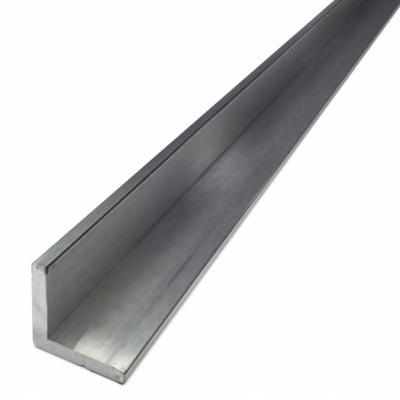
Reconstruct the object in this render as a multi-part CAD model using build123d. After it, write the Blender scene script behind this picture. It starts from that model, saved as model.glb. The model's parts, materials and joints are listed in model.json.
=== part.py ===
from build123d import *
import os

# An equal-leg angle bar: one extruded length of aluminium with an L-shaped section.
# The bar lies on the outside of its flat leg, with the other leg standing up from the heel.
# X runs along the bar, +Y points from the toe of the flat leg to the heel, +Z is up, in millimetres.
# The origin is at the middle of the box around the bar, on the floor.

# Driving sizes
leg_across = 38.1  # width of the flat leg, from the heel to its toe
leg_up = 38.1  # height of the standing leg, from the heel to its toe
wall_flat = 6.35  # thickness of the flat leg
wall_standing = 6.35  # thickness of the standing leg
bar_length = 1000.0  # cut length, square at both ends
heel_radius = 2.5  # the well-rounded outside corner where the legs meet
root_radius = 0.5  # the nearly sharp inside corner where the legs meet
toe_inner_radius = 1.2  # the long edge of each toe on the inside of the angle
toe_outer_radius = 1.0  # the long edge of each toe on the outside of the angle

# Places in the section, from the sizes
heel_y = leg_across / 2
toe_y = heel_y - leg_across
inner_face_y = heel_y - wall_standing


def corner_points():
    """The six corners of the section before they are rounded, by name, as (across, up)."""
    return {
        "heel": (heel_y, 0),
        "flat_toe_outer": (toe_y, 0),
        "flat_toe_inner": (toe_y, wall_flat),
        "root": (inner_face_y, wall_flat),
        "standing_toe_inner": (inner_face_y, leg_up),
        "standing_toe_outer": (heel_y, leg_up),
    }


def corner_radii():
    """The radius of each corner of the section, by the same names."""
    return {
        "heel": heel_radius,
        "flat_toe_outer": toe_outer_radius,
        "flat_toe_inner": toe_inner_radius,
        "root": root_radius,
        "standing_toe_inner": toe_inner_radius,
        "standing_toe_outer": toe_outer_radius,
    }


def section():
    """The L-shaped section as a flat face, with every corner rounded to its own radius."""
    corners = corner_points()
    face = make_face(Polyline(*corners.values(), close=True).edges())
    for name, radius in corner_radii().items():
        corner = face.vertices().sort_by_distance(corners[name])[0]
        face = fillet(corner, radius)
    return face


def angle_section():
    """The bar: the section drawn on the YZ plane and pushed out to both sides along X."""
    return extrude(Plane.YZ * section(), amount=bar_length / 2, both=True)


def main():
    os.makedirs("parts", exist_ok=True)
    export_step(angle_section(), "parts/angle_section.step")


main()
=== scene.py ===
"""The looks of an aluminium angle bar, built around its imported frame.

The bar is one mesh, swept from its section by Geometry Nodes, with lengthwise die lines,
saw marks on its ends, a broken edge round each cut, and dents where the photograph shows them.
All lengths are in metres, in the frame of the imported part: X runs along the bar, +Y points
from the toe of the flat leg to the heel, and Z is up from the floor.
"""

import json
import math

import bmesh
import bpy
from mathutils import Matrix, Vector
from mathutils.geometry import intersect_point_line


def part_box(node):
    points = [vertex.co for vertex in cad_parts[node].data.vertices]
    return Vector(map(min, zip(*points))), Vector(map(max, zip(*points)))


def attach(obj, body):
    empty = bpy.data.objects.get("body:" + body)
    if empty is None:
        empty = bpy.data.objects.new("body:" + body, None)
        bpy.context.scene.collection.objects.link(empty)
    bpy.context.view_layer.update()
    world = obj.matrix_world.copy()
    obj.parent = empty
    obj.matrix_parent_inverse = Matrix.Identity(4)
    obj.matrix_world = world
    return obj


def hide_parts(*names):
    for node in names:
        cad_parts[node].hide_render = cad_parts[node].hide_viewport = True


bl_info = {
    "name": "Aluminium angle bar",
    "version": (1, 0, 0),
    "blender": (4, 5, 0),
    "location": "View3D > Sidebar > Angle Bar",
    "description": "Sweeps a mill-finish angle bar from its section and lights it on a pale floor",
    "category": "Add Mesh",
}

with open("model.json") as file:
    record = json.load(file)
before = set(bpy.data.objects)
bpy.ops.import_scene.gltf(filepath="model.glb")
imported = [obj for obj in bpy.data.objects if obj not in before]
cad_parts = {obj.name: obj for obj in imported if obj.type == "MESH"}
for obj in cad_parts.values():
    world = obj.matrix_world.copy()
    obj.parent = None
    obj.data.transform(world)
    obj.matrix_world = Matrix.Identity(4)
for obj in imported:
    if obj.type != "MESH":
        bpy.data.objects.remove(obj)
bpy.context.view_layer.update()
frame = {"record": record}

NODE = "angle_section"
BODY = "root"
MM = 0.001  # a millimetre, in metres


def mount_place(name):
    """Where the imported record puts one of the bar's flat faces."""
    for mount in frame["record"]["mounts"]:
        if mount["name"] == name:
            return Vector(mount["pos_m"])
    raise KeyError(name)


# The section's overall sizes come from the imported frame
BOX_LOW, BOX_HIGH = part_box(NODE)
BAR_LENGTH = BOX_HIGH[0] - BOX_LOW[0]
LEG_ACROSS = BOX_HIGH[1] - BOX_LOW[1]
LEG_UP = BOX_HIGH[2] - BOX_LOW[2]
WALL_FLAT = mount_place("flat_leg_inside").z - BOX_LOW[2]
WALL_STANDING = BOX_HIGH[1] - mount_place("standing_leg_inside").y


def size(name, description, default):
    """A length that a user can change."""
    return bpy.props.FloatProperty(
        name=name, description=description, default=default, min=0.0, precision=4, unit="LENGTH"
    )


def colour(name, description, default):
    """A colour that a user can change."""
    return bpy.props.FloatVectorProperty(
        name=name, description=description, default=default, min=0.0, max=1.0, size=3, subtype="COLOR"
    )


class AngleBarSizes(bpy.types.PropertyGroup):
    """The sizes of the bar that a user would change."""

    length: size("Length", "Cut length of the bar", BAR_LENGTH)
    leg_across: size("Leg across", "Width of the flat leg", LEG_ACROSS)
    leg_up: size("Leg up", "Height of the standing leg", LEG_UP)
    wall_flat: size("Flat wall", "Thickness of the flat leg", WALL_FLAT)
    wall_standing: size("Standing wall", "Thickness of the standing leg", WALL_STANDING)
    heel_radius: size("Heel radius", "Outside corner where the legs meet", 2.5 * MM)
    root_radius: size("Root radius", "Inside corner where the legs meet", 0.5 * MM)
    toe_inner_radius: size("Toe inner radius", "Long inside edge of each toe", 1.2 * MM)
    toe_outer_radius: size("Toe outer radius", "Long outside edge of each toe", 1.0 * MM)
    edge_break: size("Edge break", "How far the edge round each cut is taken back", 0.25 * MM)
    die_line_depth: size("Die line depth", "Depth of the fine lengthwise lines", 0.008 * MM)
    saw_mark_depth: size("Saw mark depth", "Depth of the marks of the saw on each end", 0.05 * MM)


class AngleBarLooks(bpy.types.PropertyGroup):
    """The colours that a user would change."""

    metal_colour: colour("Metal colour", "Colour of the extruded faces", (0.52, 0.53, 0.525))
    cut_colour: colour("Cut colour", "Colour of the saw-cut ends", (0.755, 0.765, 0.735))
    floor_colour: colour("Floor colour", "Colour of the plain floor", (0.9, 0.9, 0.9))


class Recipe:
    """Adds nodes to a node tree and links them, so that a tree reads from top to bottom."""

    def __init__(self, tree):
        self.tree = tree

    def add(self, kind, inputs=None, **settings):
        """A new node with its settings and its inputs, each a value or another node's socket."""
        node = self.tree.nodes.new(kind)
        for name, value in settings.items():
            setattr(node, name, value)
        for key, value in (inputs or {}).items():
            self.feed(node.inputs[key], value)
        return node

    def put(self, kind, inputs=None, **settings):
        """The first output of a new node."""
        return self.add(kind, inputs, **settings).outputs[0]

    def feed(self, socket, value):
        """Links a socket into an input, or sets the input's own value."""
        if isinstance(value, bpy.types.NodeSocket):
            self.tree.links.new(value, socket)
        else:
            socket.default_value = value

    def math(self, operation, *values):
        """The result of one sum on numbers or sockets."""
        return self.put("ShaderNodeMath", dict(enumerate(values)), operation=operation)

    def product(self, *values):
        """Numbers or sockets multiplied together."""
        result = values[0]
        for value in values[1:]:
            result = self.math("MULTIPLY", result, value)
        return result

    def total(self, *values):
        """Numbers or sockets added up."""
        result = values[0]
        for value in values[1:]:
            result = self.math("ADD", result, value)
        return result

    def less(self, value, taken):
        """One number or socket less another."""
        return self.math("SUBTRACT", value, taken)

    def vector(self, operation, *values):
        """The result of one sum on vectors."""
        return self.put("ShaderNodeVectorMath", dict(enumerate(values)), operation=operation)

    def xyz(self, x, y, z):
        """A vector from its three parts."""
        return self.put("ShaderNodeCombineXYZ", {0: x, 1: y, 2: z})

    def parts(self, vector):
        """The three parts of a vector."""
        return self.add("ShaderNodeSeparateXYZ", {0: vector}).outputs

    def scaled(self, vector, factor):
        """A vector multiplied by one number."""
        return self.vector("MULTIPLY", vector, self.xyz(factor, factor, factor))

    def length(self, vector):
        """How long a vector is."""
        return self.add("ShaderNodeVectorMath", {0: vector}, operation="LENGTH").outputs["Value"]

    def blend(self, start, end, part):
        """The vector at a part of the way from one vector to another."""
        way = self.vector("SUBTRACT", end, start)
        return self.vector("MULTIPLY_ADD", way, self.xyz(part, part, part), start)

    def rise(self, value, low, high, out_low=0.0, out_high=1.0):
        """A value taken smoothly from one range to another."""
        inputs = {"Value": value, "From Min": low, "From Max": high, "To Min": out_low, "To Max": out_high}
        return self.add("ShaderNodeMapRange", inputs, interpolation_type="SMOOTHSTEP").outputs["Result"]

    def fall(self, value, low, high):
        """1 up to one value, and smoothly down to 0 at another."""
        return self.rise(value, low, high, 1.0, 0.0)

    def spread(self, value, low, high):
        """0 at one value and 1 at another, evenly between them."""
        inputs = {"Value": value, "From Min": low, "From Max": high}
        return self.add("ShaderNodeMapRange", inputs).outputs["Result"]

    def band(self, value, middle, half, soft):
        """1 within half a width of the middle, and 0 beyond a soft edge."""
        away = self.math("ABSOLUTE", self.less(value, middle))
        return self.fall(away, half, half + soft)

    def noise(self, position, cells, detail=2.0, seed=0.0):
        """Noise whose cells have their own length along each axis, from about -0.5 to 0.5."""
        spread = self.vector("MULTIPLY", position, tuple(1.0 / cell for cell in cells))
        inputs = {"Vector": spread, "W": seed, "Scale": 1.0, "Detail": detail}
        return self.less(self.put("ShaderNodeTexNoise", inputs, noise_dimensions="4D"), 0.5)

    def ramp(self, value, stops):
        """A colour picked by a value from stops, each a place and a colour."""
        node = self.add("ShaderNodeValToRGB", {"Fac": value})
        elements = node.color_ramp.elements
        while len(elements) < len(stops):
            elements.new(1.0)
        for element, (place, shade) in zip(elements, stops):
            element.position = place
            element.color = (*shade, 1.0)
        return node.outputs[0]


def fresh_recipe(owner):
    """A recipe for the emptied node tree of a material or a world."""
    owner.use_nodes = True
    owner.node_tree.nodes.clear()
    return Recipe(owner.node_tree)


# The bar

UV_NAME = "UVMap"
# The marks' grime, together with the painted shade and the painted glint that some marks carry
GRIME_AND_PAINTED_LIGHT = "grime_and_painted_light"
# How many points the mesh has along each side of the section, from one side to the other, along the
# bar and round each corner, and how much those along the bar crowd towards its ends
OUTLINE_SAMPLES = 300
RUNGS = 24
STATIONS = 72
FILLET_STEPS = 12
STATION_CROWDING = 2.3
RIM_SHARE = 0.0001  # a point this close to the end of its row, as a share of it, is on the rim
WELD_DISTANCE = 0.001 * MM
BAR_SEED = 3.0


def rounded_path(recipe, corners, radii):
    """An open line through the corners, each (across, up), with its own radius at each one."""
    line = recipe.put("GeometryNodeMeshLine", {"Count": len(corners)})
    index = recipe.put("GeometryNodeInputIndex")
    place = recipe.add("GeometryNodeIndexSwitch", data_type="VECTOR")
    radius = recipe.add("GeometryNodeIndexSwitch", data_type="FLOAT")
    for switch in (place, radius):
        while len(switch.index_switch_items) < len(corners):
            switch.index_switch_items.new()
        recipe.feed(switch.inputs["Index"], index)
    for number, (across, up) in enumerate(corners):
        recipe.feed(place.inputs[str(number)], recipe.xyz(0.0, across, up))
        recipe.feed(radius.inputs[str(number)], radii[number])
    placed = recipe.put("GeometryNodeSetPosition", {"Geometry": line, "Position": place.outputs[0]})
    curve = recipe.put("GeometryNodeMeshToCurve", {"Mesh": placed})
    inputs = {"Curve": curve, "Count": FILLET_STEPS, "Radius": radius.outputs[0], "Limit Radius": True}
    return recipe.put("GeometryNodeFilletCurve", inputs, mode="POLY")


def section_paths(recipe, given):
    """The outside and the inside of the section, each from the standing toe to the flat toe."""
    heel_y = recipe.product(given["Leg Across"], 0.5)
    toe_y = recipe.product(given["Leg Across"], -0.5)
    inner_y = recipe.less(heel_y, given["Wall Standing"])
    top = given["Leg Up"]
    wall = given["Wall Flat"]
    toe_outer = given["Toe Outer Radius"]
    toe_inner = given["Toe Inner Radius"]
    start = recipe.less(heel_y, toe_outer)
    corners = [(start, top), (heel_y, top), (heel_y, 0.0), (toe_y, 0.0), (toe_y, toe_outer)]
    outer = rounded_path(recipe, corners, [0.0, toe_outer, given["Heel Radius"], toe_outer, 0.0])
    start = recipe.total(inner_y, toe_inner)
    end = recipe.less(wall, toe_inner)
    corners = [(start, top), (inner_y, top), (inner_y, wall), (toe_y, wall), (toe_y, end)]
    inner = rounded_path(recipe, corners, [0.0, toe_inner, given["Root Radius"], toe_inner, 0.0])
    return outer, inner


def grid_steps(recipe, rows):
    """The column and the row of each vertex of a grid, counted from 0."""
    index = recipe.put("GeometryNodeInputIndex")
    column = recipe.math("FLOOR", recipe.math("DIVIDE", index, rows))
    row = recipe.less(index, recipe.product(column, rows))
    return column, row


def share(recipe, step, count):
    """How far a step is from the first to the last of a row, from 0 to 1."""
    return recipe.math("DIVIDE", step, recipe.less(count, 1.0))


def between(recipe, value, low, high):
    """1 where a value is above the low limit and under the high one, else 0."""
    above = recipe.math("GREATER_THAN", value, low)
    under = recipe.math("LESS_THAN", value, high)
    return recipe.product(above, under)


def point_on(recipe, path, along):
    """The place at a share of a path's length."""
    inputs = {"Curves": path, "Factor": along}
    return recipe.add("GeometryNodeSampleCurve", inputs, mode="FACTOR").outputs["Position"]


def section_ladder(recipe, outer, inner, given):
    """A grid that fills the section, from the outside path to the inside one, raised off its rim."""
    inputs = {"Vertices X": given["Outline Samples"], "Vertices Y": given["Rungs"]}
    grid = recipe.put("GeometryNodeMeshGrid", inputs)
    column, row = grid_steps(recipe, given["Rungs"])
    along = share(recipe, column, given["Outline Samples"])
    across = share(recipe, row, given["Rungs"])
    flat = recipe.blend(point_on(recipe, outer, along), point_on(recipe, inner, along), across)
    off_ends = between(recipe, along, RIM_SHARE, 1.0 - RIM_SHARE)
    off_sides = between(recipe, across, RIM_SHARE, 1.0 - RIM_SHARE)
    proud = recipe.product(off_ends, off_sides, given["Edge Break"])
    place = recipe.vector("ADD", flat, recipe.xyz(proud, 0.0, 0.0))
    return recipe.put("GeometryNodeSetPosition", {"Geometry": grid, "Position": place})


def store_uv(recipe, mesh, value):
    """Keeps a value at the face corners as the mesh's UV map."""
    inputs = {"Geometry": mesh, "Name": UV_NAME, "Value": value}
    return recipe.put("GeometryNodeStoreNamedAttribute", inputs, data_type="FLOAT2", domain="CORNER")


def half_length(recipe, given):
    """How far the rim of each cut is from the middle of the bar."""
    return recipe.less(recipe.product(given["Length"], 0.5), given["Edge Break"])


def swept_sides(recipe, ladder, given):
    """The bar's long sides: the ladder's rim repeated at stations along X, close together at the ends."""
    faces = recipe.put("GeometryNodeInputMeshEdgeNeighbors")
    rim_edge = recipe.math("COMPARE", faces, 1.0, 0.5)
    rim = recipe.put("GeometryNodeMeshToCurve", {"Mesh": ladder, "Selection": rim_edge})
    both = recipe.total(given["Outline Samples"], given["Rungs"])
    rim_count = recipe.less(recipe.product(both, 2.0), 4.0)
    columns = recipe.total(rim_count, 1.0)
    grid = recipe.add("GeometryNodeMeshGrid", {"Vertices X": columns, "Vertices Y": given["Stations"]})
    column, row = grid_steps(recipe, given["Stations"])
    rim_index = recipe.math("MODULO", column, rim_count)
    position = recipe.put("GeometryNodeInputPosition")
    inputs = {"Geometry": rim, "Value": position, "Index": rim_index}
    rim_point = recipe.put("GeometryNodeSampleIndex", inputs, data_type="FLOAT_VECTOR", domain="POINT")
    from_middle = recipe.math("MULTIPLY_ADD", share(recipe, row, given["Stations"]), 2.0, -1.0)
    to_end = recipe.less(1.0, recipe.math("ABSOLUTE", from_middle))
    crowded = recipe.less(1.0, recipe.math("POWER", to_end, STATION_CROWDING))
    station = recipe.product(crowded, half_length(recipe, given), recipe.math("SIGN", from_middle))
    place = recipe.vector("ADD", rim_point, recipe.xyz(station, 0.0, 0.0))
    sides = recipe.put("GeometryNodeSetPosition", {"Geometry": grid.outputs[0], "Position": place})
    return store_uv(recipe, sides, grid.outputs["UV Map"])


def cut_ends(recipe, ladder, given):
    """The two cut ends: the ladder facing out at each end of the bar."""
    across, up = recipe.parts(recipe.put("GeometryNodeInputPosition"))[1:3]
    ladder = store_uv(recipe, ladder, recipe.xyz(across, up, 0.0))
    half = half_length(recipe, given)
    forward = {"Geometry": ladder, "Translation": recipe.xyz(half, 0.0, 0.0)}
    far = recipe.put("GeometryNodeTransform", forward)
    back = recipe.product(half, -1.0)
    turned = {"Geometry": ladder, "Translation": recipe.xyz(back, 0.0, 0.0), "Scale": (-1.0, 1.0, 1.0)}
    near = recipe.put("GeometryNodeTransform", turned)
    return near, far


# The saw's strokes: how they slant, how far apart they are and how long
SAW_TILT = math.radians(8)
SAW_PITCH = 1.1 * MM
SAW_SWEEP = 40 * MM
# The cells of noise that each kind of relief is made of, along the bar, across it and up
DIE_LINE_CELLS = (0.4, 0.0009, 0.0009)
SLOW_WAVE_CELLS = (0.22, 0.02, 0.02)
RAGGED_CELLS = (1.0, 0.0012, 0.0012)
SLOW_WAVE_DEPTH = 0.04 * MM
RIM_REACH = 0.06 * MM  # how far the ragged rim reaches on to the long sides
RAGGED_SHARE = 1.2  # how ragged it is, as a share of the edge break


def saw_lines(recipe, position):
    """The pattern of the saw's strokes on a cut end, as slanting lines."""
    x, y, z = recipe.parts(position)
    cosine = math.cos(SAW_TILT)
    sine = math.sin(SAW_TILT)
    over = recipe.total(recipe.product(y, cosine), recipe.product(z, sine))
    along = recipe.total(recipe.product(y, sine), recipe.product(z, -cosine))
    return recipe.noise(recipe.xyz(over, along, x), (SAW_PITCH, SAW_SWEEP, 1.0), 2.0, BAR_SEED)


def on_cut(recipe):
    """1 on a cut end, whose normal points along the bar, else 0."""
    normal_x = recipe.parts(recipe.put("GeometryNodeInputNormal"))[0]
    return recipe.math("GREATER_THAN", recipe.math("ABSOLUTE", normal_x), 0.5)


def pressed(recipe, pattern, depth):
    """How deep a pattern goes: about 0 where it is lowest and its full depth where it is highest."""
    return recipe.product(recipe.total(pattern, 0.5), depth)


def relief(recipe, mesh, given):
    """Die lines and slow waves pressed into the long sides, saw marks into the ends, a ragged rim."""
    position = recipe.put("GeometryNodeInputPosition")
    normal = recipe.put("GeometryNodeInputNormal")
    lines = recipe.noise(position, DIE_LINE_CELLS, 2.0, given["Seed"])
    waves = recipe.noise(position, SLOW_WAVE_CELLS, 1.0, given["Seed"])
    line_depth = pressed(recipe, lines, given["Die Line Depth"])
    side_depth = recipe.total(line_depth, pressed(recipe, waves, SLOW_WAVE_DEPTH))
    saw_depth = pressed(recipe, saw_lines(recipe, position), given["Saw Mark Depth"])
    choice = {"Switch": on_cut(recipe), "False": side_depth, "True": saw_depth}
    depth = recipe.put("GeometryNodeSwitch", choice, input_type="FLOAT")
    inward = recipe.scaled(normal, recipe.product(depth, -1.0))
    moved = recipe.put("GeometryNodeSetPosition", {"Geometry": mesh, "Offset": inward})
    x = recipe.parts(position)[0]
    from_rim = recipe.less(recipe.math("ABSOLUTE", x), half_length(recipe, given))
    near_rim = between(recipe, from_rim, -RIM_REACH, recipe.product(given["Edge Break"], 0.5))
    ragged = recipe.noise(position, RAGGED_CELLS, 3.0, given["Seed"])
    bite = recipe.product(recipe.math("SIGN", x), ragged, given["Edge Break"], RAGGED_SHARE)
    rim_offset = {"Geometry": moved, "Selection": near_rim, "Offset": recipe.xyz(bite, 0.0, 0.0)}
    return recipe.put("GeometryNodeSetPosition", rim_offset)


# The tree has an input for each size that a user can change, under its own name
SIZE_INPUTS = {name.replace("_", " ").title(): name for name in AngleBarSizes.__annotations__}
COUNT_INPUTS = {"Outline Samples": OUTLINE_SAMPLES, "Rungs": RUNGS, "Stations": STATIONS}


def bar_tree():
    """The Geometry Nodes tree that sweeps the bar from its section."""
    tree = bpy.data.node_groups.new("Angle bar from its section", "GeometryNodeTree")
    recipe = Recipe(tree)
    kinds = [(name, "NodeSocketFloat") for name in (*SIZE_INPUTS, "Seed")]
    kinds += [(name, "NodeSocketInt") for name in COUNT_INPUTS]
    kinds += [(name, "NodeSocketMaterial") for name in ("Side Finish", "Cut Finish")]
    for name, kind in kinds:
        tree.interface.new_socket(name=name, in_out="INPUT", socket_type=kind)
    tree.interface.new_socket(name="Geometry", in_out="OUTPUT", socket_type="NodeSocketGeometry")
    given = recipe.add("NodeGroupInput").outputs
    outer, inner = section_paths(recipe, given)
    ladder = section_ladder(recipe, outer, inner, given)
    join = recipe.add("GeometryNodeJoinGeometry")
    for piece in (swept_sides(recipe, ladder, given), *cut_ends(recipe, ladder, given)):
        recipe.feed(join.inputs[0], piece)
    weld = {"Geometry": join.outputs[0], "Distance": WELD_DISTANCE}
    bar = recipe.put("GeometryNodeMergeByDistance", weld)
    for name, selection in (("Side Finish", True), ("Cut Finish", on_cut(recipe))):
        inputs = {"Geometry": bar, "Selection": selection, "Material": given[name]}
        bar = recipe.put("GeometryNodeSetMaterial", inputs)
    bar = relief(recipe, bar, given)
    bar = recipe.put("GeometryNodeSetShadeSmooth", {"Geometry": bar})
    bar = recipe.put("GeometryNodeRealizeInstances", {"Geometry": bar})
    recipe.add("NodeGroupOutput", {"Geometry": bar})
    return tree


def set_inputs(modifier, values):
    """Sets a modifier's inputs by the identifier of each named socket."""
    sockets = modifier.node_group.interface.items_tree
    identifiers = {item.name: item.identifier for item in sockets if item.in_out == "INPUT"}
    for name, value in values.items():
        modifier[identifiers[name]] = value


def plain_mesh(piece, name):
    """Turns what a piece's modifiers make into its own mesh, and takes the modifiers off."""
    bpy.context.view_layer.update()
    evaluated = piece.evaluated_get(bpy.context.evaluated_depsgraph_get())
    mesh = bpy.data.meshes.new_from_object(evaluated)
    mesh.name = name
    piece.modifiers.clear()
    piece.data = mesh
    for slot in reversed(range(len(mesh.materials))):
        if mesh.materials[slot] is None:
            mesh.materials.pop(index=slot)
    return mesh


def face_outwards(mesh):
    """Turns every face of a closed mesh outwards."""
    shell = bmesh.new()
    shell.from_mesh(mesh)
    bmesh.ops.recalc_face_normals(shell, faces=shell.faces)
    shell.to_mesh(mesh)
    shell.free()


# The finish

INNER_Y = BOX_HIGH[1] - WALL_STANDING
NEAR_X = BOX_LOW[0]
TOE_Y = BOX_LOW[1]
HEEL_Y = BOX_HIGH[1]
NO_TINT = (1.0, 1.0, 1.0)
FACE_DEPTH = 0.5 * MM  # how far off a face its own finish reaches
TOE_DEPTH = 0.2 * MM
FACE_FADE = 0.2 * MM


def metal_shader(name, roughness, anisotropy):
    """A metal whose highlights stretch round the section, as fine lengthwise lines make them."""
    material = bpy.data.materials.new(name)
    recipe = fresh_recipe(material)
    values = {"Metallic": 1.0, "Roughness": roughness, "Anisotropic": anisotropy}
    shader = recipe.add("ShaderNodeBsdfPrincipled", values)
    if anisotropy:
        tangent = recipe.put("ShaderNodeTangent", direction_type="UV_MAP", uv_map=UV_NAME)
        recipe.feed(shader.inputs["Tangent"], tangent)
    recipe.add("ShaderNodeOutputMaterial", {"Surface": shader.outputs[0]})
    return material, recipe, shader


def shaded(recipe, level, mask, kept):
    """A level of brightness multiplied by a number where a mask is 1."""
    return recipe.product(level, recipe.math("MULTIPLY_ADD", mask, kept - 1.0, 1.0))


def relit(recipe, level, mask, light):
    """A level of brightness multiplied by another one where a mask is 1."""
    change = recipe.less(light, 1.0)
    return recipe.product(level, recipe.math("MULTIPLY_ADD", mask, change, 1.0))


def along_line(recipe, y, z, place, half, soft):
    """1 near a line along the bar, with its half width and soft edge in millimetres."""
    distance = recipe.length(recipe.vector("SUBTRACT", recipe.xyz(0.0, y, z), (0.0, *place)))
    return recipe.fall(distance, half * MM, (half + soft) * MM)


def in_section(place):
    """A point of the frame, given in millimetres along from the cut, in from the heel and up."""
    along, across, up = place
    return Vector((NEAR_X + along * MM, HEEL_Y - across * MM, up * MM))


class Faces:
    """Masks for the long faces that look different from each other, and how far across each one is."""

    def __init__(self, recipe, position):
        self.position = position
        x, self.y, self.z = recipe.parts(position)
        self.from_end = recipe.less(x, NEAR_X)
        self.legs = recipe.math("DIVIDE", self.from_end, LEG_UP)
        near_flat = recipe.band(self.z, WALL_FLAT, FACE_DEPTH, FACE_FADE)
        off_root = recipe.fall(self.y, INNER_Y, INNER_Y + FACE_FADE)
        near_standing = recipe.band(self.y, INNER_Y, FACE_DEPTH, FACE_FADE)
        over_root = recipe.rise(self.z, WALL_FLAT, WALL_FLAT + FACE_FADE)
        self.masks = {
            "flat": recipe.product(near_flat, off_root),
            "standing": recipe.product(near_standing, over_root),
            "standing toe": recipe.band(self.z, LEG_UP, TOE_DEPTH, FACE_FADE),
            "flat toe": recipe.band(self.y, TOE_Y, TOE_DEPTH, FACE_FADE),
        }
        self.across = {
            "flat": recipe.spread(self.y, INNER_Y, TOE_Y),
            "standing": recipe.spread(self.z, WALL_FLAT, LEG_UP),
            "standing toe": recipe.spread(self.y, INNER_Y, HEEL_Y),
            "flat toe": recipe.spread(self.z, WALL_FLAT, 0.0),
        }


# Broad bands across a face, from its root, 0, to its toe, 1, as levels of light, with how far up the
# bar they fade and what is left of them there
BANDS_ACROSS = {
    "flat": ((0.0, 0.80), (0.30, 0.90), (0.46, 1.15), (0.60, 1.15), (0.72, 0.95), (1.0, 1.05)),
    "standing": ((0.0, 0.85), (0.12, 0.95), (0.57, 1.15), (0.84, 1.05), (0.93, 0.90)),
}
BANDS_FADE = 0.25
BANDS_LEFT = 0.35

# How the light on each face changes up the bar, as levels at places in leg widths from the cut
LEGS_ALONG = 15
LIGHT_ALONG = {
    "flat": ((0.0, 1.0), (1.5, 0.95), (13.0, 0.97), (14.7, 0.85)),
    "standing": (
        (0.0, 0.93), (2.0, 1.05), (3.1, 0.75), (4.2, 0.82),
        (6.0, 0.90), (8.7, 1.1), (10.5, 0.85), (13.0, 0.75),
    ),
    "standing toe": ((0.0, 1.08), (1.2, 1.0), (3.1, 0.75), (6.0, 0.75), (9.4, 1.4), (12.0, 1.5)),
    "flat toe": ((0.0, 0.95), (2.0, 1.12), (4.2, 0.8), (6.0, 0.6), (9.4, 0.25), (12.5, 0.15)),
}

# Broad soft patches of reflected light and dark: the face, the middle and the reach of the patch,
# each as a share of the face's width and in leg widths up the bar, and the level
SOFT_PATCHES = (
    ("flat", (0.05, 3.9), (0.55, 1.5), 2.00),
    ("flat", (0.9, 4.2), (0.5, 1.5), 0.85),
    ("flat", (0.9, 0.5), (0.3, 0.6), 1.20),
    ("flat", (0.0, 11.0), (0.6, 3.5), 1.30),
    ("standing", (0.0, 4.3), (0.5, 1.1), 0.50),
    ("standing", (0.0, 9.6), (0.6, 1.4), 1.30),
    ("standing", (0.0, 12.0), (0.6, 3.5), 1.45),
    ("standing", (1.0, 10.8), (0.6, 3.0), 0.70),
    ("standing toe", (0.0, 6.5), (0.8, 3.0), 0.85),
    ("standing toe", (1.0, 2.4), (0.8, 1.2), 0.80),
    ("standing toe", (1.0, 5.4), (0.9, 2.5), 1.45),
    ("standing toe", (1.0, 10.5), (0.9, 3.5), 2.00),
    ("flat toe", (0.0, 1.2), (0.8, 1.6), 1.20),
    ("flat toe", (1.0, 0.0), (0.8, 1.8), 0.70),
    ("flat toe", (0.0, 6.3), (0.8, 2.5), 0.50),
    ("flat toe", (1.0, 4.5), (0.8, 2.5), 1.25),
)
# The metal's tint by the cut and up the bar, and how far its red, green and blue drift
TINT_NEAR = (1.0, 1.0, 0.97)
TINT_FAR = (1.0, 0.975, 1.01)
TINT_DRIFT = (0.08, 0.02, -0.16)
DRIFT_NOISE = ((0.05, 0.008, 0.008), 2.0, 9.0)


def level_ramp(recipe, value, stops):
    """A level read off a ramp of plain levels."""
    greys = [(place, (level, level, level)) for place, level in stops]
    return recipe.parts(recipe.ramp(value, greys))[0]


def along_bar(recipe, faces, stops):
    """A level picked by how far up the bar a place is, from stops in leg widths."""
    along = recipe.math("DIVIDE", faces.legs, LEGS_ALONG)
    return level_ramp(recipe, along, [(place / LEGS_ALONG, level) for place, level in stops])


def soft_patch(recipe, faces, face, middle, reach):
    """1 in the middle of a soft patch on one face, and 0 outside it."""
    over = recipe.math("DIVIDE", recipe.less(faces.across[face], middle[0]), reach[0])
    up = recipe.math("DIVIDE", recipe.less(faces.legs, middle[1]), reach[1])
    away = recipe.length(recipe.xyz(over, up, 0.0))
    return recipe.product(recipe.fall(away, 0.0, 1.0), faces.masks[face])


def face_light(recipe, faces, level):
    """The light on the long faces: bands across them, slow changes along them and soft patches."""
    fade = recipe.rise(faces.from_end, 0.0, BANDS_FADE, 1.0, BANDS_LEFT)
    for face, bands in BANDS_ACROSS.items():
        mask = recipe.product(faces.masks[face], fade)
        level = relit(recipe, level, mask, level_ramp(recipe, faces.across[face], bands))
    for face, stops in LIGHT_ALONG.items():
        level = relit(recipe, level, faces.masks[face], along_bar(recipe, faces, stops))
    for face, middle, reach, light in SOFT_PATCHES:
        level = shaded(recipe, level, soft_patch(recipe, faces, face, middle, reach), light)
    return level


def face_tint(recipe, faces):
    """The tint of the long faces: cooler up the bar and on the flat leg's outer half, and drifting."""
    outer_half = recipe.rise(faces.across["flat"], 0.45, 0.75)
    off_cut = recipe.rise(faces.legs, 0.1, 0.4)
    outer = recipe.product(faces.masks["flat"], outer_half, off_cut)
    cool = recipe.math("MAXIMUM", outer, recipe.rise(faces.legs, 1.0, 3.0))
    tint = recipe.blend(TINT_NEAR, TINT_FAR, cool)
    drift = recipe.noise(faces.position, *DRIFT_NOISE)
    swing = recipe.vector("MULTIPLY_ADD", recipe.xyz(drift, drift, drift), TINT_DRIFT, NO_TINT)
    return recipe.vector("MULTIPLY", tint, swing)


# The broken dark streak: its line on the flat leg, how far it wavers, its half width and soft edge,
# and how strong it is along its reach
STREAK_Y = -11.4 * MM
STREAK_WAVER = 1.0 * MM
STREAK_HALF = 0.2 * MM
STREAK_FADE = 0.8 * MM
STREAK_REACH = 115 * MM
STREAK_STRENGTHS = (
    (0.00, 0.60), (0.06, 0.50), (0.08, 0.12), (0.18, 0.12), (0.22, 0.30), (0.38, 0.36),
    (0.41, 0.12), (0.44, 0.70), (0.63, 0.66), (0.69, 0.28), (1.00, 0.0),
)
STREAK_NOISE = ((0.012, 1.0, 1.0), 2.0, 8.0)


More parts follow.
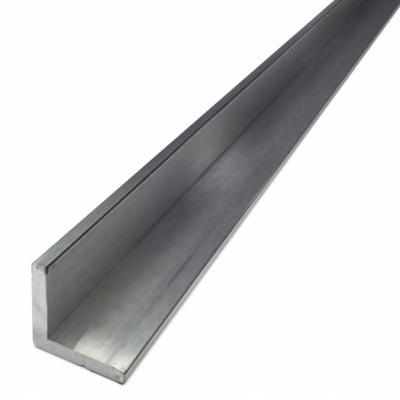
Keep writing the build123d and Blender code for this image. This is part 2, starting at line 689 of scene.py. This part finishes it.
def dark_streak(recipe, faces):
    """1 on the darkest of the broken streak that runs along the flat leg."""
    wave = recipe.noise(faces.position, *STREAK_NOISE)
    line = recipe.math("MULTIPLY_ADD", wave, STREAK_WAVER, STREAK_Y)
    over = recipe.band(recipe.less(faces.y, line), 0.0, STREAK_HALF, STREAK_FADE)
    along = recipe.math("DIVIDE", faces.from_end, STREAK_REACH)
    return recipe.product(over, level_ramp(recipe, along, STREAK_STRENGTHS), faces.masks["flat"])


# The patch beside the near cut where the flat leg was cleaned with a file, paler and less of a mirror,
# with a painted highlight over it: its reach from the cut and how ragged it ends, its edge towards the
# root, which wavers and slants, its shoulder beyond that edge, and how strongly it shows across the leg
FILED_AND_SHEEN_REACH = 16 * MM
FILED_AND_SHEEN_RAGGED = -5 * MM
FILED_AND_SHEEN_EDGE = 2.0 * MM
FILED_AND_SHEEN_WAVER = 0.6 * MM
FILED_AND_SHEEN_SLANT = 0.1
SHOULDER_SHARE = 0.18
FILED_AND_SHEEN_SHARES = (
    (0.30, 0.95), (0.44, 1.0), (0.50, 0.70), (0.68, 0.62),
    (0.74, 0.77), (0.80, 0.60), (0.88, 0.85), (0.97, 0.70),
)
RAGGED_NOISE = ((0.012, 0.0014, 0.0014), 4.0, 5.0)
WAVER_NOISE = ((0.006, 1.0, 1.0), 2.0, 2.0)


def filed_patch(recipe, faces):
    """1 where the flat leg was cleaned with a file beside the near cut and carries a painted highlight,
    and less on the patch's shoulder.
    """
    ragged = recipe.noise(faces.position, *RAGGED_NOISE)
    start = recipe.math("MULTIPLY_ADD", ragged, FILED_AND_SHEEN_RAGGED, faces.from_end)
    ending = recipe.fall(start, -1 * MM, FILED_AND_SHEEN_REACH)
    waver = recipe.noise(faces.position, *WAVER_NOISE)
    edge = recipe.math("MULTIPLY_ADD", waver, FILED_AND_SHEEN_WAVER, FILED_AND_SHEEN_EDGE)
    slanted = recipe.math("MULTIPLY_ADD", faces.from_end, FILED_AND_SHEEN_SLANT, edge)
    beyond = recipe.less(slanted, faces.y)
    clean = recipe.rise(beyond, -0.15 * MM, 0.25 * MM)
    near_cut = recipe.rise(faces.from_end, 2 * MM, 7 * MM, SHOULDER_SHARE, 0.0)
    shoulder = recipe.product(recipe.rise(beyond, -5.5 * MM, -3 * MM), near_cut)
    filed_and_sheen = recipe.product(ending, recipe.math("MAXIMUM", clean, shoulder), faces.masks["flat"])
    return recipe.product(filed_and_sheen, level_ramp(recipe, faces.across["flat"], FILED_AND_SHEEN_SHARES))


# Lines of painted light along the bar: painted dark reflections along the inside edge of each toe,
# painted shade in the root and on the standing toe's inside edge, and a faint painted highlight on
# the standing toe's top. Where each crosses the section, its half width and soft edge in millimetres,
# and the share of light that it keeps
SHADE_AND_HIGHLIGHT_LINES = (
    ((TOE_Y + 0.04 * MM, WALL_FLAT - 0.90 * MM), 0.38, 0.2, 0.11),
    ((TOE_Y + 0.80 * MM, WALL_FLAT - 0.07 * MM), 0.25, 0.3, 0.88),
    ((INNER_Y + 0.60 * MM, LEG_UP - 0.16 * MM), 0.28, 0.2, 0.18),
    ((INNER_Y + 0.15 * MM, LEG_UP - 0.65 * MM), 0.30, 0.3, 0.72),
    ((INNER_Y + 1.25 * MM, LEG_UP), 0.15, 0.3, 1.15),
    ((INNER_Y - 0.25 * MM, WALL_FLAT), 0.35, 0.5, 0.84),
    ((INNER_Y - 0.24 * MM, WALL_FLAT + 0.02 * MM), 0.22, 0.2, 0.64),
)
SHADE_AND_HIGHLIGHT_LINES_LEFT = 0.45  # what is left of them up the bar
TOE_LINE_DRIFT = 0.4 * MM  # how far those on the standing toe move over up the bar
# Paler lines that fade away from the near end, given in the same way, with their reach up the bar
PALE_LINES = (
    ((INNER_Y - 1.5 * MM, WALL_FLAT), 0.15, 0.4, 1.08, 26),
    ((INNER_Y - 3.5 * MM, WALL_FLAT), 0.20, 0.4, 1.22, 26),
    ((INNER_Y - 5.5 * MM, WALL_FLAT), 0.10, 0.3, 1.12, 26),
    ((HEEL_Y - 1.4 * MM, LEG_UP), 0.30, 0.4, 1.38, 9),
    ((TOE_Y + 0.8 * MM, WALL_FLAT), 0.25, 0.3, 1.48, 85),
)
# The painted light and shade along the root, lighter by the cut and darker further up: its place, its
# half width and soft edge in millimetres, the share of light that it keeps at places in leg widths up
# the bar, and the same for the soft painted shade round it
ROOT_LINE = (INNER_Y, WALL_FLAT + 0.6 * MM)
ROOT_LINE_WIDTHS = (0.45, 0.7)
ROOT_LINE_LIGHT = (
    (0.0, 1.2), (0.5, 1.3), (1.5, 1.3), (2.1, 1.05), (3.1, 1.1),
    (3.8, 0.5), (4.6, 0.5), (6.0, 1.0), (10.0, 1.1),
)
SHADE_WIDTHS = (0.5, 2.2)
SHADE_KEEPS = 0.86
# Small dull spots on the long faces, in millimetres along from the cut, in from the heel and up,
# with their size and the share of light that they keep
DULL_SPOTS = (
    ((4.1, 6.35, 36.8), 1.3, 0.45),
    ((1.5, 33.2, 6.35), 1.1, 0.72),
    ((0.3, 3.0, 38.1), 1.0, 0.50),
    ((1.2, 4.4, 38.1), 2.6, 0.84),
    ((10.5, 31.4, 6.35), 2.2, 0.86),
)


# The layers of the mill texture: the cells of noise along the bar and across it, how many finer
# octaves it has, a seed of its own, and how strong it is
MILL_LAYERS = {
    "fine lines": (0.30, 0.0004, 3.0, 1.0, 0.18),
    "broader lines": (0.18, 0.0016, 2.0, 2.0, 0.14),
    "wisps": (0.014, 0.0016, 3.0, 6.0, 0.16),
    "clouds": (0.045, 0.012, 3.0, 3.0, 0.14),
    "mottle": (0.0050, 0.0024, 3.0, 7.0, 0.44),
    "patches": (0.022, 0.010, 2.0, 10.0, 0.26),
    "grain": (0.0012, 0.0008, 2.0, 11.0, 0.15),
}


def mill_texture(recipe, faces):
    """How bright the extruded metal is, and the pattern of its fine lines alone."""
    level = 1.0
    patterns = {}
    for name, (along, across, octaves, seed, strength) in MILL_LAYERS.items():
        patterns[name] = recipe.noise(faces.position, (along, across, across), octaves, seed)
        level = recipe.total(level, recipe.product(patterns[name], strength))
    return level, patterns["fine lines"]


def mill_lines(recipe, faces, level):
    """Draws the lines of painted shade, painted reflection and painted highlight, and the pale lines,
    along the bar.
    """
    softened = recipe.rise(faces.legs, 4.0, 7.5, 1.0, SHADE_AND_HIGHLIGHT_LINES_LEFT)
    above = recipe.math("GREATER_THAN", faces.z, LEG_UP / 2)
    drift = recipe.product(above, recipe.rise(faces.legs, 1.2, 4.5, 0.0, TOE_LINE_DRIFT))
    across = recipe.less(faces.y, drift)
    for place, half, soft, kept in SHADE_AND_HIGHLIGHT_LINES:
        line = along_line(recipe, across, faces.z, place, half, soft)
        level = shaded(recipe, level, recipe.product(line, softened), kept)
    for place, half, soft, kept, reach in PALE_LINES:
        line = along_line(recipe, faces.y, faces.z, place, half, soft)
        fading = recipe.fall(faces.from_end, 0.0, reach * MM)
        level = shaded(recipe, level, recipe.product(line, fading), kept)
    return level


def root_seam(recipe, faces, level):
    """Draws the painted light and shade along the root and the soft painted shade round it."""
    root_light = along_line(recipe, faces.y, faces.z, ROOT_LINE, *ROOT_LINE_WIDTHS)
    level = relit(recipe, level, root_light, along_bar(recipe, faces, ROOT_LINE_LIGHT))
    shade = along_line(recipe, faces.y, faces.z, ROOT_LINE, *SHADE_WIDTHS)
    far = recipe.rise(faces.legs, 4.0, 7.0)
    return shaded(recipe, level, recipe.product(shade, far), SHADE_KEEPS)


def dull_spots(recipe, faces, level):
    """Draws the small dull spots."""
    for place, reach, kept in DULL_SPOTS:
        distance = recipe.length(recipe.vector("SUBTRACT", faces.position, tuple(in_section(place))))
        level = shaded(recipe, level, recipe.fall(distance, 0.0, reach * MM), kept)
    return level


# The share of light that each kind of place keeps, and the brightest that the metal gets
STREAK_KEEPS = 0.5
FILED_AND_SHEEN_KEEPS = 1.95
BY_CUT_KEEPS = 0.62
GRIME_AND_SHADE_KEEPS = 0.25
BRIGHTEST = 1.85
# How bright a mark is where it shows bare metal or carries a painted glint, how bare it counts as,
# and how much less of a mirror bare metal is
BARE_METAL_AND_GLINT = 1.05
MARK_BARES = 0.6
BARE_MIRRORS = -0.5
FILED_TINT = (1.04, 1.0, 0.93)
MILL_ROUGHNESS = 0.2
CUT_ROUGHNESS = 0.4
DIE_LINE_BUMP = 0.012 * MM
SAW_BUMP = 0.03 * MM
# The smudges and the grain of a sawn end, and how strong its layers are
SMUDGE_NOISE = ((1.0, 0.0035, 0.006), 3.0, 4.0)
CUT_GRAIN_NOISE = ((1.0, 0.0008, 0.0008), 2.0, 6.0)
STROKES_SHOW = 0.16
SMUDGES_SHOW = 0.30
GRAIN_SHOWS = 0.24
SMUDGES_ROUGHEN = 0.1


def rough_surface(recipe, shader, pattern, distance):
    """Bumps a metal's surface by a pattern."""
    bump = recipe.put("ShaderNodeBump", {"Strength": 1.0, "Distance": distance, "Height": pattern})
    recipe.feed(shader.inputs["Normal"], bump)


def mill_finish():
    """The extruded faces: mill finish with lengthwise lines and streaks, painted light and shade in bands,
    lines and patches, and painted shade in the corners.
    """
    looks = bpy.context.scene.angle_bar_looks
    material, recipe, shader = metal_shader("extruded_faces", MILL_ROUGHNESS, 1.0)
    faces = Faces(recipe, recipe.add("ShaderNodeTexCoord").outputs["Object"])
    level, fine_lines = mill_texture(recipe, faces)
    for draw in (mill_lines, root_seam, dull_spots):
        level = draw(recipe, faces, level)
    level = shaded(recipe, level, dark_streak(recipe, faces), STREAK_KEEPS)
    # The patch beside the near cut: paler metal cleaned with a file, brightened further by a painted
    # highlight
    filed_and_sheen = filed_patch(recipe, faces)
    level = shaded(recipe, level, filed_and_sheen, FILED_AND_SHEEN_KEEPS)
    by_cut = recipe.fall(faces.from_end, 0.3 * MM, 1.0 * MM)
    spared = recipe.math("MAXIMUM", filed_and_sheen, faces.masks["standing toe"])
    by_cut = recipe.product(by_cut, recipe.less(1.0, spared))
    level = shaded(recipe, level, by_cut, BY_CUT_KEEPS)
    # The marks darken with grime and painted shade, and below 0 brighten as bare metal or a painted glint
    grime_and_painted_light = recipe.add("ShaderNodeAttribute", attribute_name=GRIME_AND_PAINTED_LIGHT).outputs["Fac"]
    bare = recipe.math("MAXIMUM", filed_and_sheen, recipe.product(grime_and_painted_light, -MARK_BARES))
    recipe.feed(shader.inputs["Metallic"], recipe.math("MULTIPLY_ADD", bare, BARE_MIRRORS, 1.0))
    level = recipe.math("MINIMUM", shaded(recipe, level, grime_and_painted_light, GRIME_AND_SHADE_KEEPS), BRIGHTEST)
    level = recipe.math("MAXIMUM", level, recipe.product(grime_and_painted_light, -BARE_METAL_AND_GLINT))
    level = face_light(recipe, faces, level)
    filed_tint = recipe.blend(NO_TINT, FILED_TINT, filed_and_sheen)
    tint = recipe.vector("MULTIPLY", face_tint(recipe, faces), filed_tint)
    base = recipe.scaled(recipe.vector("MULTIPLY", tint, tuple(looks.metal_colour)), level)
    recipe.feed(shader.inputs["Base Color"], base)
    rough_surface(recipe, shader, fine_lines, DIE_LINE_BUMP)
    return material


# How the light changes over a sawn end: from where to where, and the levels there where it isn't
# simply from 0 to 1
UP_THE_LEG = (7.5 * MM, 13.5 * MM, 0.75, 1.0)
UP_FROM_FLOOR = (0.0, 2.5 * MM, 0.93, 1.0)
FLOOR_RIM = (0.35 * MM, 0.80 * MM)
FLOOR_RIM_TO_TOE = (HEEL_Y - 14 * MM, HEEL_Y - 20 * MM, 0.7, 1.0)
TOE_RIM = (TOE_Y + 0.35 * MM, TOE_Y + 0.65 * MM)
FILED_RIM_UP = (WALL_FLAT - 0.5 * MM, WALL_FLAT - 0.15 * MM)
FILED_RIM_ACROSS = (2.4 * MM, 1.8 * MM)
FILED_RIM_KEEPS = 1.2
FLOOR_RIM_KEEPS = 0.52
TOE_RIM_KEEPS = 0.50


def cut_level(recipe, y, z):
    """How bright a sawn end is: painted shade along its rim at the floor and low on the leg, so that it is
    paler up the leg, and darker along its rim at the toe.
    """
    filed_rim = recipe.product(recipe.rise(z, *FILED_RIM_UP), recipe.rise(y, *FILED_RIM_ACROSS))
    # Painted shade along the rim at the floor, where the end mirrors the bar's contact shadow
    floor_rim = recipe.product(recipe.fall(z, *FLOOR_RIM), recipe.rise(y, *FLOOR_RIM_TO_TOE))
    level = shaded(recipe, recipe.rise(z, *UP_THE_LEG), filed_rim, FILED_RIM_KEEPS)
    level = recipe.product(level, recipe.rise(z, *UP_FROM_FLOOR))
    level = shaded(recipe, level, floor_rim, FLOOR_RIM_KEEPS)
    return shaded(recipe, level, recipe.fall(y, *TOE_RIM), TOE_RIM_KEEPS)


def saw_cut():
    """The sawn ends: paler and rougher metal with saw strokes and smudges, painted shade along the rim at
    the floor, and darker along the rim at the toe.
    """
    looks = bpy.context.scene.angle_bar_looks
    material, recipe, shader = metal_shader("sawn_ends", CUT_ROUGHNESS, 0.0)
    position = recipe.add("ShaderNodeTexCoord").outputs["Object"]
    y, z = recipe.parts(position)[1:3]
    strokes = saw_lines(recipe, position)
    smudge = recipe.noise(position, *SMUDGE_NOISE)
    grain = recipe.noise(position, *CUT_GRAIN_NOISE)
    texture = 1.0
    for pattern, strength in ((strokes, STROKES_SHOW), (smudge, SMUDGES_SHOW), (grain, GRAIN_SHOWS)):
        texture = recipe.total(texture, recipe.product(pattern, strength))
    level = recipe.product(cut_level(recipe, y, z), texture)
    # The marks darken with grime and painted shade, and below 0 brighten as bare metal or a painted glint
    grime_and_painted_light = recipe.add("ShaderNodeAttribute", attribute_name=GRIME_AND_PAINTED_LIGHT).outputs["Fac"]
    level = shaded(recipe, level, grime_and_painted_light, GRIME_AND_SHADE_KEEPS)
    level = recipe.math("MAXIMUM", level, recipe.product(grime_and_painted_light, -BARE_METAL_AND_GLINT))
    recipe.feed(shader.inputs["Base Color"], recipe.scaled(recipe.xyz(*looks.cut_colour), level))
    roughness = recipe.total(CUT_ROUGHNESS, recipe.product(smudge, SMUDGES_ROUGHEN))
    recipe.feed(shader.inputs["Roughness"], roughness)
    rough_surface(recipe, shader, strokes, SAW_BUMP)
    return material


# Wear at the near cut, with painted shade at some marks and a painted glint on the burr at the toe.
# Each mark is a line from one point to another, in millimetres along from the cut, in from the heel
# and up from the floor, with its reach at both points, how far it is pushed along X, Y and Z, also in
# millimetres, and how grimy or painted dark it is, below 0 where it is bright as bare metal or a
# painted glint
NEAR_END_MARKS = {
    "worn inside edge at its toe": ((0, 6.3, 38.0), (0, 6.35, 35.7), (2.1, 1.5), (0.30, 0.10, 0), 1.3),
    "worn inside edge below it": ((0, 6.35, 35.7), (0, 6.35, 29.0), (1.0, 0.8), (0.20, 0.05, 0), 1.0),
    "worn inside edge half way up": ((0, 6.35, 29.0), (0, 6.35, 21.5), (0.8, 0.4), (0.15, 0, 0), 1.15),
    "pit in the top of the end": ((0, 2.4, 37.3), (0, 2.7, 36.8), (0.65, 0.6), (0.30, 0, 0), 0.9),
    "rubbed top of the end": ((0, 3.8, 37.6), (0, 5.4, 37.6), (1.4, 1.4), (0.25, 0, 0), 0.50),
    "dull ring beside the pit": ((0, 4.0, 36.9), (0, 4.6, 36.6), (0.6, 0.6), (0.05, 0, 0), 0.25),
    # Painted shade on the bevel along the top rim of the end
    "painted shade on the top rim": ((0, 0.8, 38.0), (0, 5.4, 38.0), (0.9, 0.9), (0.10, 0, 0), 0.25),
    "dull outside edge at its toe": ((0, 0.2, 38.0), (0, 0.0, 33.5), (1.0, 0.7), (0.08, 0, 0), 0.50),
    "nick in the outside edge": ((0, 0, 32.3), (0, 0, 31.4), (0.6, 0.5), (0.10, -0.25, 0), 0.6),
    "dull smudge half way up": ((0, 2.0, 20.3), (0, 3.4, 18.2), (2.6, 2.0), (0, 0, 0), 0.20),
    "dull smudge below it": ((0, 5.4, 17.0), (0, 5.6, 13.5), (1.6, 1.6), (0, 0, 0), 0.14),
    "dull patch over the heel": ((0, 0.8, 7.5), (0, 2.4, 5.5), (2.0, 2.4), (0, 0, 0), 0.15),
    "dull stroke over the bite": ((0, 21.1, 6.2), (0, 21.6, 1.1), (0.5, 0.6), (0, 0, 0), 0.22),
    "dull stroke beside it": ((0, 18.3, 5.0), (0, 18.6, 1.6), (0.5, 0.5), (0, 0, 0), 0.16),
    # Real burrs along the bottom edge; their grime is painted shade, where the end mirrors the bar's
    # contact shadow
    "burr with painted shade on the bottom edge": ((0, 16.0, 0.1), (0, 25.0, 0.1), (0.35, 0.75), (-0.20, 0, 0), 0.30),
    "burr with painted shade on to the toe": ((0, 25.0, 0.1), (0, 37.2, 0.1), (0.75, 0.80), (-0.30, 0, 0), 0.52),
    "bite in the bottom edge": ((0, 21.2, 0.3), (0, 21.8, 0.3), (1.1, 1.0), (0.30, 0, 0.10), 1.0),
    "torn corner of the flat toe": ((0, 36.1, 0.4), (0, 37.4, 0.4), (0.9, 1.0), (-0.20, 0, 0), 0.85),
    "dull patch beside the torn corner": ((0, 35.0, 2.1), (0, 36.0, 3.3), (1.7, 1.2), (0, 0, 0), 0.45),
    "pale scratch over it": ((0, 35.2, 4.5), (0, 35.8, 3.9), (0.40, 0.35), (0, 0, 0), -0.75),
    "pale scratch beside it": ((0, 36.4, 3.1), (0, 36.9, 2.4), (0.40, 0.40), (0, 0, 0), -0.75),
    "pale scratch under it": ((0, 36.2, 1.6), (0, 36.6, 1.3), (0.35, 0.35), (0, 0, 0), -0.70),
    "dull dash by the cut": ((0, 33.2, 6.3), (0.2, 33.7, 6.3), (0.6, 0.6), (0.1, 0, -0.1), 0.45),
    # Painted dark reflection where the flat toe's dark line meets the cut
    "end of the toe's painted dark line": ((0.8, 37.95, 5.75), (0.3, 37.9, 5.85), (0.7, 0.7), (0, 0.06, 0), 1.2),
    "shadow under the burr": ((0, 36.4, 5.75), (0, 37.4, 5.1), (0.55, 0.55), (0.15, 0, 0), 1.1),
    # A real burr at the toe with a painted glint on it
    "burr at the toe with a painted glint": ((0.5, 36.2, 6.4), (0, 37.3, 6.15), (0.65, 0.65), (-0.15, 0, 0.10), -1.9),
}


def grimier(before, dirt_and_shade, share):
    """How grimy or painted dark a place is after a mark: one that is bright, below 0, as bare metal or a
    painted glint, wipes off what was there.
    """
    if dirt_and_shade > 0.0:
        return max(before, dirt_and_shade * share)
    return before * (1.0 - share) + dirt_and_shade * share


def mark_near_end(mesh):
    """Pushes the marks into the near end and keeps how grimy or painted dark each place is, below 0 where
    it is bright.
    """
    grime_and_painted_light = mesh.attributes.new(GRIME_AND_PAINTED_LIGHT, "FLOAT", "POINT")
    marks = NEAR_END_MARKS.values()
    deepest = max(start[0] + max(reaches) for start, end, reaches, push, dirt_and_shade in marks) * MM
    near = [vertex for vertex in mesh.vertices if vertex.co.x < NEAR_X + deepest]
    for start, end, reaches, push, dirt_and_shade in marks:
        first = in_section(start)
        last = in_section(end)
        shift = Vector(push) * MM
        for vertex in near:
            part = min(max(intersect_point_line(vertex.co, first, last)[1], 0.0), 1.0)
            reach = (reaches[0] + (reaches[1] - reaches[0]) * part) * MM
            distance = (vertex.co - first.lerp(last, part)).length / reach
            if distance < 1.0:
                share = (1.0 - distance**2) ** 2
                vertex.co += shift * share
                here = grime_and_painted_light.data[vertex.index]
                here.value = grimier(here.value, dirt_and_shade, share)


class AngleBarMake(bpy.types.Operator):
    """Sweep the bar from its section, mark its near end and give it its finish"""

    bl_idname = "angle_bar.make"
    bl_label = "Make the bar"

    def execute(self, context):
        sizes = context.scene.angle_bar_sizes
        bar = bpy.data.objects.new("angle_bar", bpy.data.meshes.new("angle_bar_start"))
        context.scene.collection.objects.link(bar)
        modifier = bar.modifiers.new("Section sweep", "NODES")
        modifier.node_group = bar_tree()
        set_inputs(modifier, {title: getattr(sizes, name) for title, name in SIZE_INPUTS.items()})
        set_inputs(modifier, COUNT_INPUTS)
        finishes = {"Side Finish": mill_finish(), "Cut Finish": saw_cut()}
        set_inputs(modifier, {"Seed": BAR_SEED, **finishes})
        mesh = plain_mesh(bar, "angle_bar")
        if not mesh.polygons:
            raise RuntimeError("the section sweep made no faces")
        face_outwards(mesh)
        mark_near_end(mesh)
        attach(bar, BODY)
        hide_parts(NODE)
        return {"FINISHED"}


# The stage

CAMERA_PLACE = Vector((-0.6490, -0.0895, 0.1795))
CAMERA_LOOK = Vector((0.8054, 0.2814, -0.5217))
CAMERA_ROLL = math.radians(7.84)
CAMERA_LENS = 60.27  # millimetres, on a sensor 36 mm wide
FLOOR_HALF = 6.0
# How far the bar's contact shadow reaches, and how much of the floor's white is its own glow, as the
# camera sees it and as the metal mirrors it
CONTACT_REACH = 1.4 * MM
CONTACT_SHADOW = (0.15, 0.95, 0.35, 1.0)
# Painted shade on the floor: its colour dims up the bar, which shows in the metal's reflections
PALE_AT_NEAR_END = (-0.38, 0.10, 1.0, 0.55)  # from where to where along X it dims, and its levels
GLOW_TO_CAMERA = 0.975
GLOW_IN_METAL = 0.35

COOL = Vector((0.94, 0.97, 1.06))
NEUTRAL = Vector((1.0, 1.0, 1.0))
GREENISH = Vector((0.97, 1.02, 0.99))
WARM = (1.12, 0.98, 0.94)
# Where each warm lamp starts and ends along the bar's line, and how strong it is
LAMPS = ((0.825, 0.858, 0.60), (0.930, 0.940, 0.12))
LAMP_FADE = 0.006
LAMPS_ASIDE = (-0.18, -0.32)
# Where the sky dims, in parts of a direction, and the levels there where it isn't simply from 0 to 1:
# near the horizon, on the right of the bar, by how far off its line, and low on the far left
HORIZON = (0.0, 0.45, 0.35, 1.0)
ON_THE_RIGHT = (0.10, -0.25)
RIGHT_LEVELS = (0.54, 0.60, 0.85, 0.68)
FAR_LEFT = (0.22, 0.34)
LOW_ON_THE_LEFT = (0.58, 0.50)
FAR_LEFT_KEEPS = 0.70
SKY_SHIFT = -0.05  # how much sooner the sky brightens on the right

# The sky's light by how far a direction is off the bar's own line: a place and a colour
SKY_STOPS = (
    (0.00, 0.14 * COOL),
    (0.09, 0.185 * COOL),
    (0.15, 0.23 * COOL),
    (0.20, 0.26 * COOL),
    (0.28, 0.285 * COOL),
    (0.42, 0.36 * COOL),
    (0.49, 0.44 * NEUTRAL),
    (0.55, 0.55 * GREENISH),
    (0.59, 0.66 * GREENISH),
    (0.63, 1.20 * NEUTRAL),
    (1.00, 1.30 * NEUTRAL),
)


def make_camera():
    """The camera at the photograph's place, looking along the bar from above its near end."""
    lens = bpy.data.cameras.new("camera")
    lens.lens = CAMERA_LENS
    lens.clip_start = 0.01
    camera = bpy.data.objects.new("camera", lens)
    camera.location = CAMERA_PLACE
    look = CAMERA_LOOK.to_track_quat("-Z", "Y").to_matrix()
    turned = look @ Matrix.Rotation(CAMERA_ROLL, 3, "Z")
    camera.rotation_euler = turned.to_euler()
    bpy.context.scene.collection.objects.link(camera)
    bpy.context.scene.camera = camera


def tall_lamp(recipe, along, aside, start, end):
    """A tall soft lamp to the right of the bar, between two distances along its line."""
    risen = recipe.rise(along, start - LAMP_FADE, start + LAMP_FADE)
    fallen = recipe.fall(along, end - LAMP_FADE, end + LAMP_FADE)
    return recipe.product(risen, fallen, recipe.rise(aside, *LAMPS_ASIDE))


def studio_light(recipe, direction):
    """The colour of the light from a direction: the sky, dimmer near the horizon, and the lamps."""
    along, aside, height = recipe.parts(direction)
    off_line = recipe.less(1.0, recipe.product(along, along))
    on_right = recipe.rise(aside, *ON_THE_RIGHT)
    sky = recipe.ramp(recipe.math("MULTIPLY_ADD", on_right, SKY_SHIFT, off_line), SKY_STOPS)
    far_left = recipe.product(recipe.rise(aside, *FAR_LEFT), recipe.rise(height, *LOW_ON_THE_LEFT))
    dimming = shaded(recipe, recipe.rise(height, *HORIZON), far_left, FAR_LEFT_KEEPS)
    dimming = relit(recipe, dimming, on_right, recipe.rise(off_line, *RIGHT_LEVELS))
    lamps = [
        recipe.product(tall_lamp(recipe, along, aside, start, end), strength)
        for start, end, strength in LAMPS
    ]
    return recipe.vector("ADD", recipe.scaled(sky, dimming), recipe.scaled(WARM, recipe.total(*lamps)))


def make_world():
    """A plain sky, bright overhead and dim near the horizon, with two faint warm lamps to the right."""
    world = bpy.data.worlds.new("studio")
    bpy.context.scene.world = world
    recipe = fresh_recipe(world)
    direction = recipe.vector("NORMALIZE", recipe.add("ShaderNodeTexCoord").outputs["Generated"])
    lit = recipe.put("ShaderNodeBackground", {"Color": studio_light(recipe, direction)})
    plain = recipe.put("ShaderNodeBackground", {"Color": (1.0, 1.0, 1.0, 1.0)})
    is_camera = recipe.add("ShaderNodeLightPath").outputs["Is Camera Ray"]
    mix = recipe.put("ShaderNodeMixShader", {0: is_camera, 1: lit, 2: plain})
    recipe.add("ShaderNodeOutputWorld", {"Surface": mix})


def floor_finish():
    """A plain pale floor that shows near white, and still takes a soft shadow."""
    looks = bpy.context.scene.angle_bar_looks
    material = bpy.data.materials.new("floor_finish")
    recipe = fresh_recipe(material)
    x = recipe.parts(recipe.add("ShaderNodeTexCoord").outputs["Object"])[0]
    # The floor's painted shade, dimmer up the bar, shows mainly in the metal's reflections
    paleness = recipe.rise(x, *PALE_AT_NEAR_END)
    pale = recipe.scaled(tuple(looks.floor_colour), paleness)
    matt = recipe.put("ShaderNodeBsdfDiffuse", {"Color": pale})
    contact = recipe.add("ShaderNodeAmbientOcclusion", {"Distance": CONTACT_REACH}).outputs["AO"]
    shadow = recipe.rise(contact, *CONTACT_SHADOW)
    glow = recipe.put("ShaderNodeEmission", {"Color": recipe.xyz(shadow, shadow, shadow)})
    path = recipe.add("ShaderNodeLightPath")
    to_camera = recipe.product(path.outputs["Is Camera Ray"], GLOW_TO_CAMERA)
    in_metal = recipe.math("MAXIMUM", path.outputs["Is Glossy Ray"], path.outputs["Is Transmission Ray"])
    part = recipe.total(to_camera, recipe.product(in_metal, GLOW_IN_METAL, paleness))
    mix = recipe.put("ShaderNodeMixShader", {0: part, 1: matt, 2: glow})
    recipe.add("ShaderNodeOutputMaterial", {"Surface": mix})
    return material


def make_floor():
    """A large flat floor under the bar."""
    corners = [(x * FLOOR_HALF, y * FLOOR_HALF, 0.0) for x, y in ((-1, -1), (1, -1), (1, 1), (-1, 1))]
    mesh = bpy.data.meshes.new("floor")
    mesh.from_pydata(corners, [], [(0, 1, 2, 3)])
    mesh.materials.append(floor_finish())
    floor = bpy.data.objects.new("floor", mesh)
    bpy.context.scene.collection.objects.link(floor)


class AngleBarStage(bpy.types.Operator):
    """Set up the floor, the light and the camera"""

    bl_idname = "angle_bar.stage"
    bl_label = "Set the stage"

    def execute(self, context):
        make_camera()
        make_world()
        make_floor()
        context.scene.view_settings.view_transform = "Standard"
        return {"FINISHED"}


class AngleBarPanel(bpy.types.Panel):
    """Lists the sizes, the colours and the steps"""

    bl_idname = "VIEW3D_PT_angle_bar"
    bl_label = "Angle Bar"
    bl_space_type = "VIEW_3D"
    bl_region_type = "UI"
    bl_category = "Angle Bar"

    def draw(self, context):
        for group in (context.scene.angle_bar_sizes, context.scene.angle_bar_looks):
            for name in group.__annotations__:
                self.layout.prop(group, name)
        for step in STEPS:
            self.layout.operator(step.bl_idname)


STEPS = (AngleBarStage, AngleBarMake)
CLASSES = (AngleBarSizes, AngleBarLooks, *STEPS, AngleBarPanel)


def register():
    for each in CLASSES:
        bpy.utils.register_class(each)
    bpy.types.Scene.angle_bar_sizes = bpy.props.PointerProperty(type=AngleBarSizes)
    bpy.types.Scene.angle_bar_looks = bpy.props.PointerProperty(type=AngleBarLooks)


def unregister():
    del bpy.types.Scene.angle_bar_looks
    del bpy.types.Scene.angle_bar_sizes
    for each in reversed(CLASSES):
        bpy.utils.unregister_class(each)


def main():
    register()
    bpy.ops.angle_bar.stage()
    bpy.ops.angle_bar.make()


if __name__ == "__main__":
    main()
